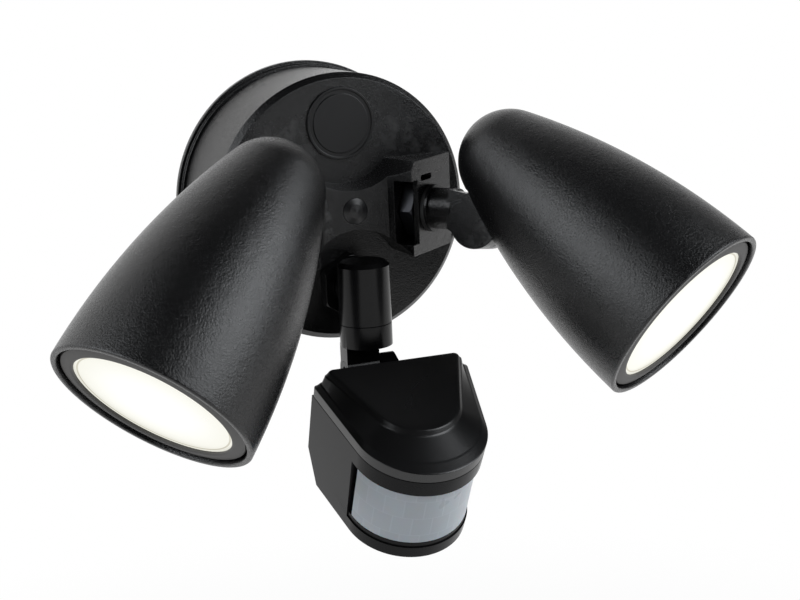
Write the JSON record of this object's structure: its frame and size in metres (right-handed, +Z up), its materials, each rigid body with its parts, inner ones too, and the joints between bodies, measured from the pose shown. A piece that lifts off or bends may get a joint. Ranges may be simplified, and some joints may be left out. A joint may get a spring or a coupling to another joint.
{
  "type": "security light",
  "caption": "Round wall canopy with two swivelling bullet lamp heads and a motion sensor on a pan and tilt stem.",
  "frame": {"origin": "on the wall face, on the axis of the round canopy", "axes": "+Z up, -Y out of the wall towards the viewer, +X to the right as seen from the front"},
  "size_m": [0.2927, 0.1906, 0.2004],
  "materials": {
    "black_cast": "satin textured powder coat",
    "black_shell": "fine wrinkle powder coat",
    "black_moulded": "satin moulded",
    "black_bezel": "semi matt",
    "opal_lens": "lit warm white opal",
    "milky_lens": "milky faceted",
    "steel": "zinc plated",
    "black_steel": "black oxide",
    "seal": "matt",
    "circuit": "white solder mask",
    "green_circuit": "solder mask",
    "chip": "phosphor",
    "plate": "milled",
    "driver_case": "moulded",
    "terminal": "moulded",
    "detector_can": "drawn can",
    "dial": "moulded"
  },
  "bodies": {
    "canopy": {"front_housing": "black_cast", "rear_base": "black_cast", "wall_bracket": "steel", "wall_gasket": "seal", "blanking_plug": "black_moulded", "centre_screw": "steel", "centre_screw_plug": "seal", "left_lock_nut": "black_steel", "right_lock_nut": "black_steel", "sensor_lock_nut": "black_moulded", "led_driver": "driver_case", "terminal_block": "terminal", "sensor_stem": "black_moulded"},
    "sensor_collar": {"sensor_collar": "black_moulded", "sensor_tilt_bolt": "black_steel"},
    "sensor_head": {"sensor_housing": "black_moulded", "sensor_cap": "black_moulded", "sensor_lens": "milky_lens", "sensor_board": "green_circuit", "motion_detector": "detector_can"},
    "range_dial": {"range_dial": "dial"},
    "time_dial": {"time_dial": "dial"},
    "light_dial": {"light_dial": "dial"},
    "left_arm": {"left_arm": "black_cast", "left_arm_seal": "seal", "left_pivot_bolt": "black_steel"},
    "left_head": {"left_head_shell": "black_shell", "left_bezel": "black_bezel", "left_diffuser": "opal_lens", "left_lens_gasket": "seal", "left_led_board": "circuit", "left_led_chips": "chip", "left_heat_plate": "plate"},
    "right_arm": {"right_arm": "black_cast", "right_arm_seal": "seal", "right_pivot_bolt": "black_steel"},
    "right_head": {"right_head_shell": "black_shell", "right_bezel": "black_bezel", "right_diffuser": "opal_lens", "right_lens_gasket": "seal", "right_led_board": "circuit", "right_led_chips": "chip", "right_heat_plate": "plate"}
  },
  "joints": [
    {"name": "left_arm_swivel", "type": "hinge", "parent": "canopy", "child": "left_arm", "pos_m": [-0.0337, -0.0576, -0.0022], "axis": [-0.5736, -0.8192, 0], "range_deg": [-20, 20]},
    {"name": "left_head_tilt", "type": "hinge", "parent": "left_arm", "child": "left_head", "pos_m": [-0.0473, -0.07298, -0.00707], "axis": [0.7394, -0.5177, -0.4305], "range_deg": [-15, 15]},
    {"name": "right_arm_swivel", "type": "hinge", "parent": "canopy", "child": "right_arm", "pos_m": [0.0337, -0.0576, -0.0022], "axis": [0.5736, -0.8192, 0], "range_deg": [-20, 20]},
    {"name": "right_head_tilt", "type": "hinge", "parent": "right_arm", "child": "right_head", "pos_m": [0.05067, -0.08356, -0.00751], "axis": [0.8052, 0.5638, -0.184], "range_deg": [-5, 20]},
    {"name": "sensor_pan", "type": "hinge", "parent": "canopy", "child": "sensor_collar", "pos_m": [0, -0.0656, -0.055], "axis": [0, 0, 1], "range_deg": [-20, 20]},
    {"name": "sensor_tilt", "type": "hinge", "parent": "sensor_collar", "child": "sensor_head", "pos_m": [0, -0.0656, -0.0697], "axis": [0.9973, -0.0732, 0], "range_deg": [-25, 18]},
    {"name": "range_dial_turn", "type": "hinge", "parent": "sensor_head", "child": "range_dial", "pos_m": [-0.01513, -0.0942, -0.12219], "axis": [0.0322, 0.4388, -0.898], "range_deg": [-135, 135]},
    {"name": "time_dial_turn", "type": "hinge", "parent": "sensor_head", "child": "time_dial", "pos_m": [-0.00217, -0.09515, -0.12219], "axis": [0.0322, 0.4388, -0.898], "range_deg": [-135, 135]},
    {"name": "light_dial_turn", "type": "hinge", "parent": "sensor_head", "child": "light_dial", "pos_m": [0.0108, -0.0961, -0.12219], "axis": [0.0322, 0.4388, -0.898], "range_deg": [-135, 135]}
  ]
}
